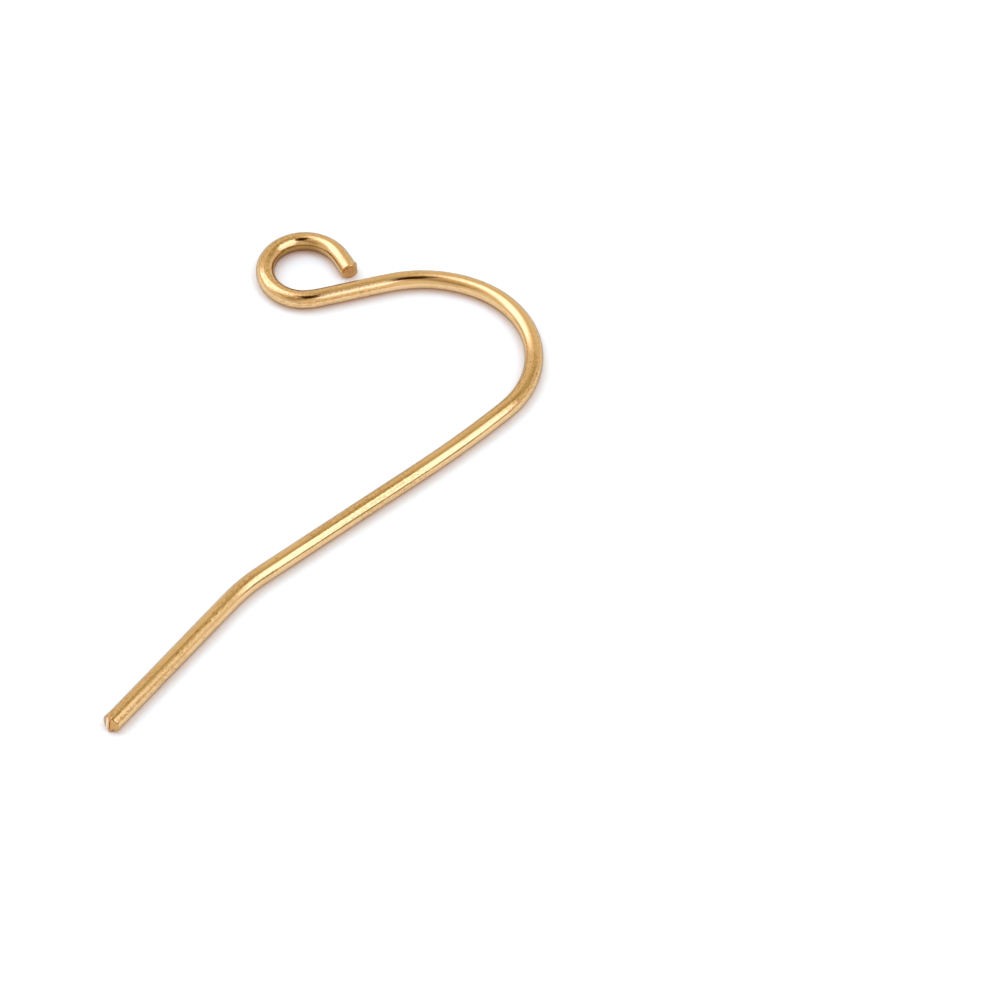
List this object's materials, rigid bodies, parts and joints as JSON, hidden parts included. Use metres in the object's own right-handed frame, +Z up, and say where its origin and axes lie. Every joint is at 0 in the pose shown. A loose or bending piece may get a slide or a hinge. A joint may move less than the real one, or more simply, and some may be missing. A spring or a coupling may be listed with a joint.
{
  "type": "ear wire",
  "caption": "Flat-bent fish-hook ear wire of round gold-plated wire, with an open eye for a drop, a wide arch over the lobe, a straight shank and a kicked-out tail.",
  "frame": {"origin": "middle of the footprint, on the surface that the wire lies on", "axes": "+Y along the straight shank towards the arch, the tail end at -Y; +X from the eye towards the shank; +Z up, across the wire's plane"},
  "size_m": [0.0144, 0.024, 0.0007],
  "materials": {
    "gold_wire": "polished gold plating over drawn stainless steel wire, with faint lengthwise draw lines"
  },
  "bodies": {
    "root": {"ear_wire": "gold_wire"}
  },
  "joints": []
}
